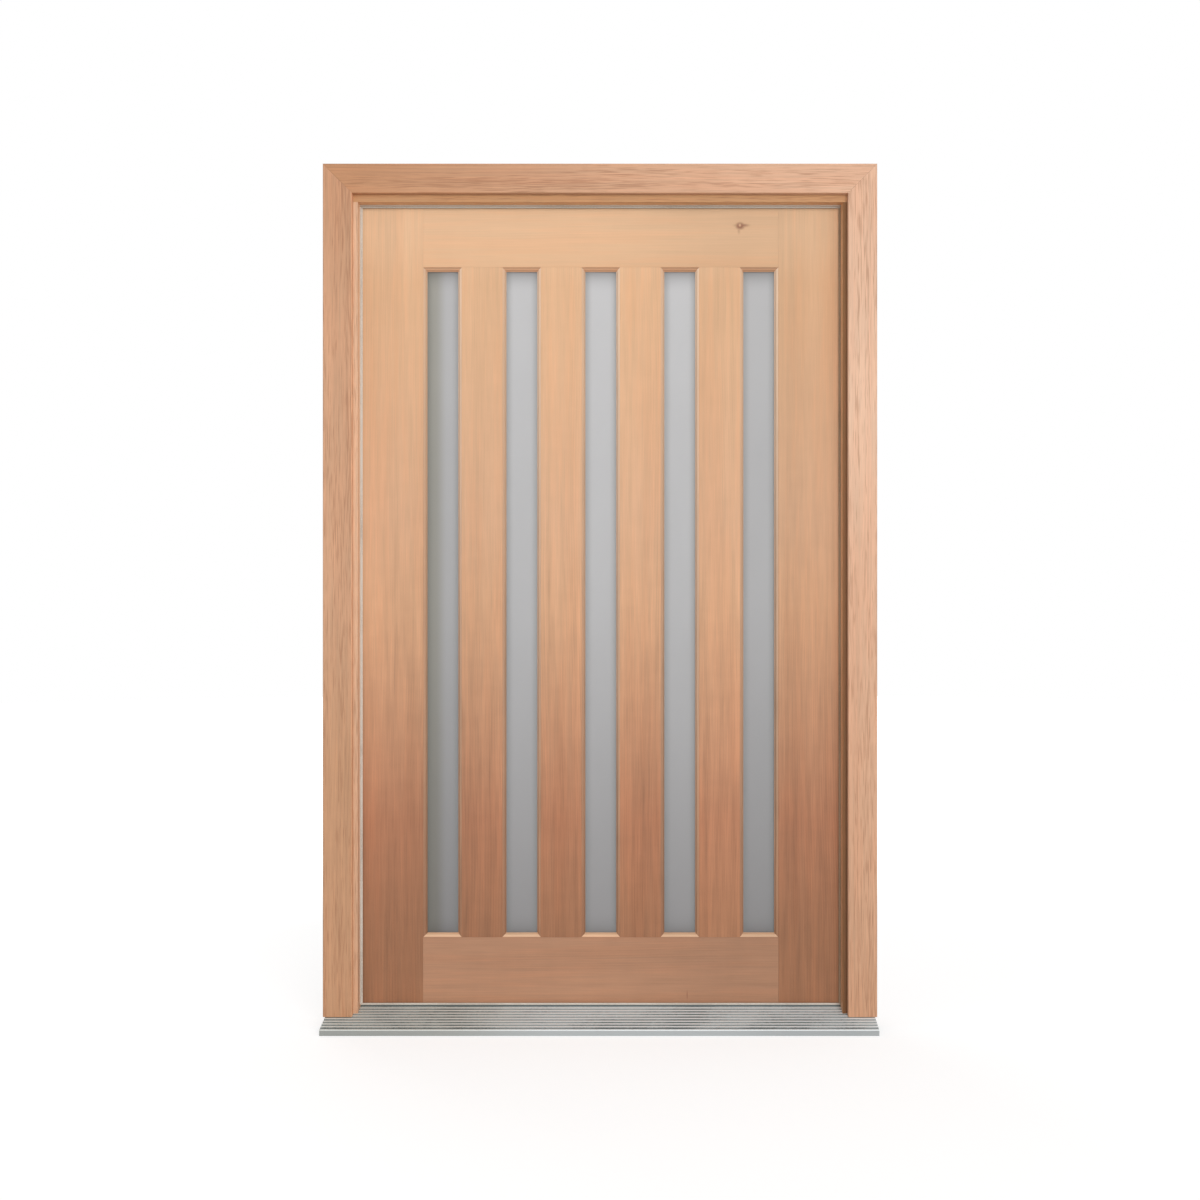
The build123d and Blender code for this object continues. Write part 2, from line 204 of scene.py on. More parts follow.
class SillSettings(bpy.types.PropertyGroup):
    """Satin anodised aluminium of the sill."""

    colour: colour_setting("Metal", "Colour of the clean metal", tint(247, 253, 254))
    # Grooves: grime and painted shade together
    dirt_and_shade_colour: colour_setting("Dirt", "Colour of the dirt in the grooves", tint(97, 104, 104))
    dirt_and_shade_share: share_setting("Dirt share", "How strongly the grooves are soiled", 0.9)
    metallic: share_setting("Metallic", "How metallic the anodised skin looks", 0.12)
    roughness: share_setting("Roughness", "Roughness of the anodised skin", 0.46)
    # Painted shade on the nosing's face; the arris above it is left out and reads as a highlight
    nosing_shade: share_setting("Nosing shade", "How far the nosing's face is dulled", 0.57)
    arris: length_setting("Arris", "Height of the nosing's bright top edge", 0.002)
    # Tint that darkens and warms the sill towards its left end
    left_tint: colour_setting("Left tint", "Tint of the sill's soiled left end", (0.86, 0.84, 0.79))
    rib_count: IntProperty(name="Ribs", description="Ribs across the tread", default=9, min=1)
    rib_share: share_setting("Rib share", "Share of the pitch that a rib takes", 0.59)
    first_rib_cut: share_setting("First rib cut", "Share by which the first rib is narrower", 0.47)


class SealSettings(bpy.types.PropertyGroup):
    """Pale rubber of the weather seals."""

    colour: colour_setting("Rubber", "Colour of the clean rubber", tint(219, 211, 200))
    dust_colour: colour_setting("Dust", "Colour of the dust on it", tint(176, 164, 150))
    roughness: share_setting("Roughness", "Roughness of the rubber", 0.68)


class HingeSettings(bpy.types.PropertyGroup):
    """Satin stainless steel of the hinges, and their screws."""

    steel_colour: colour_setting("Steel", "Colour of the steel", tint(186, 185, 181))
    grease_colour: colour_setting("Grease", "Colour of old grease on it", tint(120, 112, 100))
    roughness: share_setting("Roughness", "Roughness of the satin steel", 0.33)
    screw_radius: length_setting("Screw radius", "Radius of a screw head", 0.0041)
    screw_dome: length_setting("Screw dome", "Height of a screw head's dome", 0.0008)
    screw_recess: length_setting("Recess depth", "Depth of the cross recess", 0.0007)
    screw_rise: length_setting("Screw rise", "Height between one screw and the next", 0.026)
    screw_stagger: length_setting("Screw stagger", "Distance between the two rows", 0.012)


class StageSettings(bpy.types.PropertyGroup):
    """Camera, lights and floor of the studio."""

    camera_place: place_setting("Camera", "Where the camera stands", (0.1, -4.02, 1.042))
    lens: number_setting("Lens", "Focal length in millimetres", 49.35)
    ambient: number_setting("Ambient", "Strength of the light from all round", 0.54)
    key_place: place_setting("Key light", "Where the key light hangs", (2.4, -10.0, 2.3))
    key_power: number_setting("Key power", "Power of the key light in watts", 590.0)
    key_size: length_setting("Key size", "Width of the key light", 4.0)
    back_place: place_setting("Back light", "Where the back light hangs", (-2.6, 5.0, 3.2))
    back_power: number_setting("Back power", "Power of the back light in watts", 60.0)
    back_size: length_setting("Back size", "Width of the back light", 3.6)
    floor_colour: colour_setting("Floor", "Colour of the pale floor", (0.6, 0.6, 0.6))
    floor_lift: number_setting("Floor lift", "Light that the floor adds of itself", 0.6)
    floor_radius: length_setting("Floor radius", "How far the floor reaches", 14.0)
    floor_fade: length_setting("Floor fade", "How far off the floor turns plain white", 3.0)


def fill(tree, node, inputs):
    """Fills a node's inputs with values or with links from sockets."""
    for key, value in inputs.items():
        socket = node.inputs[key]
        if isinstance(value, bpy.types.NodeSocket):
            tree.links.new(value, socket)
        elif socket.type == "RGBA":
            socket.default_value = (*value[:3], 1.0)
        else:
            socket.default_value = value


def place(tree, kind, inputs, **settings):
    """Adds a node, sets its properties and fills its inputs."""
    node = tree.nodes.new(kind)
    for name, value in settings.items():
        setattr(node, name, value)
    fill(tree, node, inputs)
    return node


def calc(tree, operation, *values):
    """One step of arithmetic on numbers or sockets."""
    return place(tree, "ShaderNodeMath", dict(enumerate(values)), operation=operation).outputs[0]


def times(tree, first, second, plus=0.0):
    """The product of two numbers or sockets, plus a third."""
    return calc(tree, "MULTIPLY_ADD", first, second, plus)


def vector_calc(tree, operation, *values, output=0):
    """One step of arithmetic on points or colours."""
    node = place(tree, "ShaderNodeVectorMath", dict(enumerate(values)), operation=operation)
    return node.outputs[output]


def fade(tree, value, start, end, kind="SMOOTHSTEP"):
    """A step from 0 at start to 1 at end, whichever of the two is larger, smooth or of another kind."""
    inputs = {"Value": value, "From Min": start, "From Max": end}
    return place(tree, "ShaderNodeMapRange", inputs, interpolation_type=kind).outputs[0]


def blend(tree, share, first, second):
    """A colour part of the way from the first to the second."""
    inputs = {0: share, 6: first, 7: second}
    return place(tree, "ShaderNodeMix", inputs, data_type="RGBA").outputs[2]


def shade(tree, colour, amount, depth=1.0):
    """A colour made lighter or darker by an amount around zero, times a depth."""
    inputs = {0: colour, "Scale": times(tree, amount, depth, 1.0)}
    return place(tree, "ShaderNodeVectorMath", inputs, operation="SCALE").outputs[0]


def stain(tree, share, colour, dye):
    """A colour part of the way to its product with another."""
    return blend(tree, share, colour, vector_calc(tree, "MULTIPLY", colour, dye))


def split(tree, point):
    """The parts of a point along X, Y and Z."""
    return place(tree, "ShaderNodeSeparateXYZ", {0: point}).outputs


def streaks(tree, point, per_metre, detail=2.0):
    """Soft noise around zero, with so many cells to the metre along each axis."""
    stretched = vector_calc(tree, "MULTIPLY", point, per_metre)
    noise = place(tree, "ShaderNodeTexNoise", {"Vector": stretched, "Scale": 1.0, "Detail": detail})
    return calc(tree, "SUBTRACT", noise.outputs["Fac"], 0.5)


def oval(tree, point, middle, reach):
    """Distance from the middle of an upright oval with two half sizes, along X and Z: 1 on its rim."""
    offset = vector_calc(tree, "SUBTRACT", point, middle)
    stretched = vector_calc(tree, "MULTIPLY", offset, (1 / reach[0], 0.0, 1 / reach[1]))
    return vector_calc(tree, "LENGTH", stretched, output=1)


def make_group(name, inputs, outputs, build):
    """A shader node group with named sockets, filled by build, or the one made before."""
    group = bpy.data.node_groups.get(name)
    if group:
        return group
    group = bpy.data.node_groups.new(name, "ShaderNodeTree")
    for socket in inputs:
        kind = "NodeSocketVector" if socket == "Point" else "NodeSocketFloat"
        group.interface.new_socket(socket, in_out="INPUT", socket_type=kind)
    for socket in outputs:
        group.interface.new_socket(socket, in_out="OUTPUT", socket_type="NodeSocketFloat")
    entry = group.nodes.new("NodeGroupInput")
    made = build(group, *(entry.outputs[socket] for socket in inputs))
    place(group, "NodeGroupOutput", dict(zip(outputs, made)))
    return group


def build_straight_grain(tree, point, spacing, line_depth, band_depth, fibre_depth):
    """Timber with its grain along Z: drifting growth lines, bands, fibres, figure and redder patches."""
    across = split(tree, point)
    drift = times(tree, streaks(tree, point, (4.0, 4.0, 0.9), 1.0), 0.05)
    tilted = times(tree, across["Y"], 0.35, across["X"])
    turns = calc(tree, "DIVIDE", calc(tree, "ADD", tilted, drift), spacing)
    wave = calc(tree, "SINE", times(tree, turns, 2 * pi))
    late_wood = calc(tree, "POWER", times(tree, wave, 0.5, 0.5), 4.0)
    clear = fade(tree, streaks(tree, point, (16.0, 16.0, 0.8)), -0.12, 0.14)
    lines = times(tree, times(tree, late_wood, clear), line_depth)
    broad = streaks(tree, point, (11.0, 11.0, 0.3), 1.0)
    narrow = streaks(tree, point, (60.0, 60.0, 0.8), 2.0)
    patches = streaks(tree, point, (85.0, 85.0, 5.0), 2.0)
    mottle = calc(tree, "ADD", times(tree, narrow, 0.7, broad), patches)
    bands = times(tree, mottle, band_depth)
    fibres = streaks(tree, point, (520.0, 520.0, 9.0), 3.0)
    strands = times(tree, fibres, fibre_depth)
    figure = times(tree, streaks(tree, point, (13.0, 13.0, 26.0), 2.0), 0.08)
    shaded = calc(tree, "SUBTRACT", calc(tree, "ADD", bands, strands), lines)
    tone = calc(tree, "ADD", shaded, figure)
    height = times(tree, late_wood, -0.25, calc(tree, "ADD", fibres, 0.6))
    flush = times(tree, patches, 0.8, streaks(tree, point, (22.0, 22.0, 1.8), 2.0))
    return tone, height, fade(tree, flush, -0.1, 0.22)


def open_pores(tree, point):
    """Short dark dashes along Z, crowded in some stretches of the timber and sparse in others."""
    dashes = streaks(tree, point, (440.0, 440.0, 16.0), 1.5)
    crowding = streaks(tree, point, (45.0, 45.0, 1.6), 1.0)
    depth = times(tree, crowding, 0.5, dashes)
    return (fade(tree, depth, 0.0, 0.22),)


def soiling(tree, point):
    """Cloudy patches of soil or rubbing, from 0 where clean to 1."""
    clouds = streaks(tree, point, (7.0, 7.0, 7.0), 3.0)
    specks = streaks(tree, point, (260.0, 260.0, 260.0), 2.0)
    return (fade(tree, times(tree, specks, 0.5, clouds), -0.12, 0.24),)


def brushing(tree, point):
    """Fine parallel lines along Z, as dies and brushes leave them on metal."""
    coarse = streaks(tree, point, (420.0, 420.0, 1.2), 2.0)
    fine = streaks(tree, point, (1900.0, 1900.0, 5.0), 1.0)
    return (times(tree, fine, 0.6, coarse),)


def straight_grain(tree, point, settings):
    """The grain group with one timber's own values."""
    inputs = {
        "Point": point,
        "Line Spacing": settings.line_spacing,
        "Line Depth": settings.line_depth,
        "Band Depth": settings.band_depth,
        "Fibre Depth": settings.fibre_depth,
    }
    group = make_group("Straight Grain", inputs, ("Tone", "Height", "Flush"), build_straight_grain)
    return place(tree, "ShaderNodeGroup", inputs, node_tree=group).outputs


def pattern(tree, point, build):
    """The one output of the group that build fills, which only needs a point."""
    name = build.__name__.replace("_", " ").title()
    group = make_group(name, ("Point",), ("Amount",), build)
    return place(tree, "ShaderNodeGroup", {"Point": point}, node_tree=group).outputs[0]


def empty_tree(owner):
    """The cleared node tree of a material or a world."""
    owner.use_nodes = True
    owner.node_tree.nodes.clear()
    return owner.node_tree


def new_material(name):
    """An empty material: its node tree, its surface shader and the point that it shades."""
    material = bpy.data.materials.new(name)
    tree = empty_tree(material)
    shader = tree.nodes.new("ShaderNodeBsdfPrincipled")
    place(tree, "ShaderNodeOutputMaterial", {"Surface": shader.outputs[0]})
    point = tree.nodes.new("ShaderNodeTexCoord").outputs["Object"]
    return material, tree, shader, point


def turned(tree, point, level, seed):
    """The point moved to a stretch of timber of its own, and turned so that level grain runs along Z."""
    inputs = {
        "Vector": point,
        "Location": (1.7 * seed, 0.9 * seed, 3.1 * seed),
        "Rotation": (0.0, pi / 2 if level else 0.0, 0.0),
    }
    return place(tree, "ShaderNodeMapping", inputs).outputs[0]


def ramp(tree, value, low, high, stops):
    """A colour that runs through stops, each a share of the way from low to high with its colour."""
    node = place(tree, "ShaderNodeValToRGB", {0: fade(tree, value, low, high, "LINEAR")})
    elements = node.color_ramp.elements
    for element, (position, colour) in zip(elements, (stops[0], stops[-1])):
        element.position = position
        element.color = (*colour, 1.0)
    for position, colour in stops[1:-1]:
        elements.new(position).color = (*colour, 1.0)
    return node.outputs[0]


def spaced(*colours):
    """Stops for a ramp at even distances."""
    return list(zip(np.linspace(0, 1, len(colours)).tolist(), colours))


def finish(tree, shader, colour, roughness, height, strength, relief, constants):
    """Links a colour, a roughness and a height that raises the surface by relief, and sets constants."""
    raised = {"Height": height, "Strength": strength, "Distance": relief}
    bump = place(tree, "ShaderNodeBump", raised).outputs[0]
    fill(tree, shader, {"Base Color": colour, "Roughness": roughness, "Normal": bump, **constants})


def dress(node, material):
    """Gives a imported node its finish."""
    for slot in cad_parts[node].material_slots:
        slot.material = material


def scaled(colour, tone):
    """A colour made lighter or darker all over."""
    return tuple(min(1.0, value * tone) for value in colour)


def leaf_stops(settings, head_tone, foot_tone):
    """The leaf timber's colours from foot to head, made lighter or darker at either end.

    The foot's tone fades out upwards with the square of the distance from the head.
    """
    stops = (
        (0.08, settings.foot_colour),
        (0.23, settings.knee_colour),
        (0.50, settings.waist_colour),
        (0.61, settings.chest_colour),
        (0.90, settings.head_colour),
        (1.00, settings.crown_colour),
    )
    tones = [head_tone + (foot_tone - head_tone) * (1 - position) ** 2 for position, colour in stops]
    return [(position, scaled(colour, tone)) for tone, (position, colour) in zip(tones, stops)]


def figured(tree, colour, grain, settings, strength=1.0):
    """A timber colour shaded more or less strongly by its grain, and flushed in patches."""
    shaded = shade(tree, colour, grain["Tone"], strength)
    share = times(tree, grain["Flush"], settings.flush_share)
    return stain(tree, share, shaded, settings.flush_tint)


def leaf_figure(tree, height):
    """How strongly the leaf's grain shows at a height: plainest at the head, richest towards the foot."""
    plainest, gain = 0.7, 0.9
    low = fade(tree, height, 0.75 * LEAF_HIGH.z, 0.3 * LEAF_HIGH.z)
    return times(tree, low, gain, plainest)


def finish_timber(tree, shader, colour, grain, settings):
    """Fine timber under a thin coat, roughened and raised by its grain."""
    roughness = times(tree, grain["Height"], 0.14, settings.roughness - 0.07)
    coat = {"Specular IOR Level": 0.35, "Coat Weight": 0.06, "Coat Roughness": 0.4}
    finish(tree, shader, colour, roughness, grain["Height"], 0.25, 0.0004, coat)


def beside_glass(tree, axes, axis, side, toward):
    """1 on the moulding that ends at a bar's side, in front of the panes, and 0 on the rest of the bar."""
    start = side - toward * MOULDING_WIDTH
    near = fade(tree, axes[axis], start, start + toward * SOFT_EDGE)
    before_pane = fade(tree, axes["Y"], PANE_FRONT + SOFT_EDGE, PANE_FRONT + 0.2 * SOFT_EDGE)
    return times(tree, near, before_pane)


def leaf_bar_material(node, settings, level, seed, stops, mouldings):
    """Timber of one bar of the leaf, graded by height in painted light and shade, with mouldings in painted
    light and shade beside the glass.

    Each moulding has the axis across it, the way that it looks along it, and its colours at foot and head.
    """
    material, tree, shader, point = new_material(f"{node} timber")
    axes = split(tree, point)
    grain = straight_grain(tree, turned(tree, point, level, seed), settings)
    # Painted light and shade: the colour by height darkens towards the foot
    colour = ramp(tree, axes["Z"], LEAF_LOW.z, LEAF_HIGH.z, stops)
    for axis, toward, ends in mouldings:
        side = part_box(node)[toward > 0]["XYZ".index(axis)]
        share = beside_glass(tree, axes, axis, side, toward)
        graded = ramp(tree, axes["Z"], SIGHT_LOW, SIGHT_HIGH, spaced(*ends))
        colour = blend(tree, share, colour, graded)
    strength = leaf_figure(tree, axes["Z"])
    if level:
        strength = times(tree, strength, settings.rail_figure)
        # Painted shade towards the right
        even_to, darkest_from = -0.05, 0.35
        to_right = fade(tree, axes["X"], even_to, darkest_from)
        colour = shade(tree, colour, to_right, -settings.right_shade)
    colour = figured(tree, colour, grain, settings, strength)
    if node == "top_rail":
        # Painted shadow along the sunk quirk line of the moulding over the panes
        quirk_back = LEAF_LOW.y + QUIRK_REACH
        quirk = fade(tree, axes["Y"], quirk_back, quirk_back - SOFT_EDGE)
        sunk = times(tree, quirk, share)
        colour = shade(tree, colour, sunk, -settings.quirk_shade)
        colour = add_knot(tree, colour, point, settings)
    if node == "bottom_rail":
        colour = add_drag_mark(tree, colour, point, settings)
    if node == "lock_stile":
        # Painted light beside the stop, where the recess shades the lock stile
        colour = shade(tree, colour, shut_edge(tree, axes, settings.edge_width), settings.painted_edge_light)
    finish_timber(tree, shader, colour, grain, settings)
    return material


def shut_edge(tree, axes, width):
    """Mask of painted light on the lock stile's front beside the stop, lifting the shade of the recess
    there: 1 beside the stop, fading to 0 across the strip and behind the stop.
    """
    stop = LEAF_HIGH.x - STOP_LAP
    lightened = fade(tree, axes["X"], stop - width, stop)
    before_stop = fade(tree, axes["X"], stop + 6 * SOFT_EDGE, stop + 2 * SOFT_EDGE)
    front = fade(tree, axes["Y"], LEAF_LOW.y + 4 * SOFT_EDGE, LEAF_LOW.y + 2 * SOFT_EDGE)
    return times(tree, times(tree, lightened, before_stop), front)


def add_knot(tree, colour, point, settings):
    """A small knot: a dark oval round a pale heart, with a tapering streak along the grain."""
    middle = Vector(settings.knot_place)
    body = oval(tree, point, middle, (0.0110, 0.0088))
    streak = oval(tree, point, middle + Vector((0.004, 0.0, 0.0014)), (0.027, 0.0064))
    tail = oval(tree, point, middle + Vector((-0.003, 0.0, -0.011)), (0.0055, 0.014))
    heart = oval(tree, point, middle + Vector((-0.0005, 0.0, 0.0020)), (0.0046, 0.0056))
    tail_share, heart_share, knot_share = 0.4, 0.85, 0.9
    dark = calc(tree, "MAXIMUM", fade(tree, body, 1.4, 0.4), fade(tree, streak, 1.0, 0.0))
    dark = calc(tree, "MAXIMUM", dark, times(tree, fade(tree, tail, 1.0, 0.0), tail_share))
    dark = times(tree, fade(tree, heart, 1.0, 0.2), -heart_share, dark)
    share = calc(tree, "MAXIMUM", times(tree, dark, knot_share), 0.0)
    return blend(tree, share, colour, settings.knot_colour)


def add_drag_mark(tree, colour, point, settings):
    """A short upright scratch across the grain."""
    mark_share = 0.7
    mark = oval(tree, point, Vector(settings.drag_place), (0.0022, 0.016))
    share = times(tree, fade(tree, mark, 1.0, 0.2), mark_share)
    return blend(tree, share, colour, settings.knot_colour)


def bead_material(number, settings):
    """Timber of the four beads behind one pane, whose grain turns at the mitres."""
    material, tree, shader, point = new_material(f"glazing bead {number} timber")
    axes = split(tree, point)
    low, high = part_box(f"glazing_beads_{number}")
    middle = (low + high) / 2
    half = (high - low) / 2
    from_middle = vector_calc(tree, "ABSOLUTE", vector_calc(tree, "SUBTRACT", point, middle))
    from_edge = vector_calc(tree, "SUBTRACT", half, from_middle)
    edges = split(tree, from_edge)
    level = calc(tree, "LESS_THAN", edges["Z"], edges["X"])
    upright_point = turned(tree, point, False, 20 + number)
    level_point = turned(tree, point, True, 30 + number)
    grain_point = place(
        tree, "ShaderNodeMix", {0: level, 4: upright_point, 5: level_point}, data_type="VECTOR"
    ).outputs[1]
    grain = straight_grain(tree, grain_point, settings)
    colour = ramp(tree, axes["Z"], LEAF_LOW.z, LEAF_HIGH.z, leaf_stops(settings, 1.04, 1.04))
    colour = figured(tree, colour, grain, settings, leaf_figure(tree, axes["Z"]))
    finish_timber(tree, shader, colour, grain, settings)
    return material


def frame_material(node, settings, ends, grade, seed, front_shadow_tint=PLAIN):
    """Timber of one jamb or facing: coarse grain with open pores, from one end colour across to the other.

    A grade tints it by height, a jamb's front edge may carry a painted shadow tint, and the left facing's
    inner edge has a painted highlight. A jamb's front edge stands at Y = 0.
    """
    material, tree, shader, point = new_material(f"{node} timber")
    axes = split(tree, point)
    grain_point = turned(tree, point, node.startswith("head"), seed)
    grain = straight_grain(tree, grain_point, settings)
    across = ramp(tree, axes["X"], LEAF_LOW.x, LEAF_HIGH.x, spaced(*ends))
    upward = ramp(tree, axes["Z"], LEAF_LOW.z, LEAF_HIGH.z, grade)
    # Painted shadow on a jamb's front edge
    front = fade(tree, axes["Y"], 3 * SOFT_EDGE, SOFT_EDGE)
    colour = stain(tree, front, vector_calc(tree, "MULTIPLY", across, upward), front_shadow_tint)
    # Painted highlight on the left facing's inner edge
    if node == "left_facing":
        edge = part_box(node)[1].x
        lit_and_worn = fade(tree, axes["X"], edge - 1.2 * SOFT_EDGE, edge - 0.4 * SOFT_EDGE)
        colour = shade(tree, colour, lit_and_worn, settings.wear)
    pores = pattern(tree, grain_point, open_pores)
    share = times(tree, pores, settings.pore_share)
    colour = blend(tree, share, figured(tree, colour, grain, settings), settings.pore_colour)
    height = times(tree, pores, -0.7, grain["Height"])
    roughness = times(tree, pores, 0.18, settings.roughness)
    coat = {"Coat Weight": 0.08, "Coat Roughness": 0.4}
    finish(tree, shader, colour, roughness, height, 0.4, 0.0005, coat)
    return material


def pane_material(number, settings, pane_tone):
    """Frosted glass of one pane in painted shade: grey by height, greener along its sides and shaded at its
    ends.
    """
    material, tree, shader, point = new_material(f"frosted pane {number}")
    axes = split(tree, point)
    low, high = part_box(f"glass_{number}")
    greys = (settings.foot_colour, settings.waist_colour, settings.head_colour)
    stops = spaced(*(scaled(grey, pane_tone) for grey in greys))
    colour = ramp(tree, axes["Z"], low.z, high.z, stops)
    clouds = times(tree, streaks(tree, point, (9.0, 9.0, 3.0), 2.0), 0.08)
    # Painted shade along the sides, where the beads shade the glass
    from_side = calc(tree, "ABSOLUTE", calc(tree, "SUBTRACT", axes["X"], (low.x + high.x) / 2))
    sight_half = (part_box(f"glazing_beads_{number}")[1].x - low.x) / 2 - PANE_LAP
    side = fade(tree, from_side, sight_half - settings.edge_width, sight_half)
    share = times(tree, side, settings.edge_share)
    tone = clouds
    # Painted shadow of the rails at the pane's head and foot
    ends = (
        (SIGHT_HIGH - settings.end_width, SIGHT_HIGH, settings.head_shade),
        (SIGHT_LOW + settings.end_width, SIGHT_LOW, settings.foot_shade),
    )
    for start, end, depth in ends:
        nearness = fade(tree, axes["Z"], start, end, "LINEAR")
        tone = times(tree, calc(tree, "POWER", nearness, 2.0), -depth, tone)
    colour = blend(tree, share, shade(tree, colour, tone), settings.edge_colour)
    # Painted shade over the first pane's left side
    if number == 1:
        veil = fade(tree, axes["X"], low.x + settings.veil_width, low.x + 0.42 * settings.veil_width)
        colour = stain(tree, veil, colour, settings.veil_tint)
    etching = streaks(tree, point, (1400.0, 1400.0, 1400.0), 2.0)
    roughness = times(tree, etching, 0.2, settings.roughness)
    glass = {"Transmission Weight": settings.transmission, "IOR": 1.5}
    finish(tree, shader, colour, roughness, etching, 0.08, 0.0002, glass)
    return material


def sill_material(settings):
    """Anodised aluminium with die lines along X; its grooves darkened by grime and painted shade, a painted
    shadow line at the tread's back, rib tops paler as painted highlight and smoother in the middle, the
    nosing's face in painted shade, and a darker, warmer left end.
    """
    material, tree, shader, point = new_material("sill anodised aluminium")
    axes = split(tree, point)
    lines = pattern(tree, turned(tree, point, True, 3), brushing)
    soil = pattern(tree, point, soiling)
    pitch = (TREAD_BACK - SILL_LOW.y) / settings.rib_count
    turns = calc(tree, "DIVIDE", calc(tree, "SUBTRACT", axes["Y"], SILL_LOW.y), pitch)
    across_rib = calc(tree, "FRACT", turns)
    first_rib = calc(tree, "LESS_THAN", turns, 1.0)
    rib_end = times(tree, first_rib, -settings.first_rib_cut, settings.rib_share)
    flank_share = 0.2
    groove = fade(tree, across_rib, rib_end, calc(tree, "ADD", rib_end, flank_share))
    on_tread = calc(tree, "LESS_THAN", axes["Y"], TREAD_BACK)
    # Rib tops in the middle: smoother with traffic, and paler as painted highlight
    plain_from, fullest_to = 0.55, 0.2
    trodden_and_lit = fade(tree, calc(tree, "ABSOLUTE", axes["X"]), plain_from, fullest_to)
    # Grooves darkened by grime and painted shade
    dirt_and_shade = times(tree, times(tree, groove, on_tread), settings.dirt_and_shade_share)
    dirt_and_shade = times(tree, dirt_and_shade, times(tree, soil, 0.25, 0.8))
    # Painted shadow in a thin band at the back of the tread, below the seal
    past_tread = calc(tree, "ABSOLUTE", calc(tree, "SUBTRACT", axes["Y"], TREAD_BACK))
    dirt_and_shade = calc(tree, "MAXIMUM", dirt_and_shade, fade(tree, past_tread, 0.8 * SOFT_EDGE, 0.2 * SOFT_EDGE))
    lit_and_worn = times(tree, calc(tree, "SUBTRACT", 1.0, groove), trodden_and_lit)
    # Painted shade on the nosing's face below its arris
    face = fade(tree, axes["Y"], SILL_LOW.y + settings.arris, SILL_LOW.y)
    below_arris = fade(tree, axes["Z"], NOSING_TOP - 0.5 * settings.arris, NOSING_TOP - settings.arris)
    nosing = times(tree, face, below_arris)
    tone = times(tree, lines, 0.06, times(tree, lit_and_worn, 0.06))
    tone = times(tree, nosing, -settings.nosing_shade, tone)
    colour = blend(tree, dirt_and_shade, shade(tree, settings.colour, tone), settings.dirt_and_shade_colour)
    # Darker, warmer towards the left end
    untinted_to, tinted_from = -0.1, -0.4
    to_left = fade(tree, axes["X"], untinted_to, tinted_from)
    colour = stain(tree, to_left, colour, settings.left_tint)
    roughness = times(tree, soil, 0.14, settings.roughness)
    roughness = times(tree, lit_and_worn, -0.08, roughness)
    finish(tree, shader, colour, roughness, lines, 0.15, 0.0002, {"Metallic": settings.metallic})
    return material


def seal_material(side, settings, shadow):
    """Pale rubber with dust that lies unevenly along it, tinted by the shadow that it stands in."""
    material, tree, shader, point = new_material(f"{side} seal rubber")
    soil = pattern(tree, point, soiling)
    share = times(tree, soil, 0.5)
    dusty = blend(tree, share, settings.colour, settings.dust_colour)
    colour = vector_calc(tree, "MULTIPLY", dusty, shadow)
    roughness = times(tree, soil, 0.15, settings.roughness)
    finish(tree, shader, colour, roughness, soil, 0.15, 0.0002, {})
    return material


def steel_material(name, settings, level):
    """Satin stainless steel brushed along its length, with a little old grease."""
    material, tree, shader, point = new_material(name)
    lines = pattern(tree, turned(tree, point, level, 7), brushing)
    soil = pattern(tree, point, soiling)
    colour = shade(tree, settings.steel_colour, lines, 0.25)
    colour = blend(tree, times(tree, soil, 0.3), colour, settings.grease_colour)
    roughness = times(tree, soil, 0.16, settings.roughness)
    finish(tree, shader, colour, roughness, lines, 0.2, 0.0001, {"Metallic": 1.0})
    return material


def screw_heads(places, outward, settings):
    """Screw heads of a hinge plate, each a closed shape on a polar grid of rings and spokes.

    The dome's height falls with the square of the radius. A cross of two bars is sunk into it, each bar's
    depth fading out over its ends and flanks. Past the rim the grid runs down a cone to a point inside
    the plate.
    """
    rings, cone_rings, spokes = 14, 4, 56
    last_ring = 0.12
    outwards = np.linspace(0, 1, rings + 1)[1:]
    inwards = np.linspace(1, last_ring, cone_rings + 1)[1:]
    radius = np.concatenate((outwards, inwards))
    angle = np.linspace(0, 2 * pi, spokes, endpoint=False)
    size = settings.screw_radius
    across = size * radius[:, None] * np.cos(angle)
    along = size * radius[:, None] * np.sin(angle)
    dome = settings.screw_dome * (1 - radius**2)
    cone = -size * (1 - radius)
    on_cone = np.arange(radius.size) >= rings
    cross = np.maximum(cross_bar(across, along, size), cross_bar(along, across, size))
    recess = settings.screw_recess * cross
    height = np.where(on_cone, cone, dome)[:, None] - np.where(on_cone[:, None], 0.0, recess)
    grid = np.stack((across, along, height), axis=-1).reshape(-1, 3)
    top = (0.0, 0.0, settings.screw_dome - settings.screw_recess)
    tip = (0.0, 0.0, -size)
    head = np.concatenate(([top], grid, [tip]))
    axes = np.array(((0.0, outward, 0.0), (0.0, 0.0, 1.0), (outward, 0.0, 0.0)))
    points = (np.array(places)[:, None, :] + head @ axes).reshape(-1, 3)
    spoke = np.arange(spokes)
    following = (spoke + 1) % spokes
    first = 1 + np.arange(radius.size - 1)[:, None] * spokes
    quads = np.stack(
        (first + spoke, first + spokes + spoke, first + spokes + following, first + following), axis=-1
    ).reshape(-1, 4)
    last = len(head) - 1
    rim = last - spokes
    caps = np.concatenate(
        (
            np.stack((np.zeros_like(spoke), 1 + spoke, 1 + following), axis=-1),
            np.stack((np.full_like(spoke, last), rim + following, rim + spoke), axis=-1),
        )
    )
    shifts = (np.arange(len(places)) * len(head))[:, None, None]
    faces = (quads + shifts).reshape(-1, 4).tolist() + (caps + shifts).reshape(-1, 3).tolist()
    return points, faces


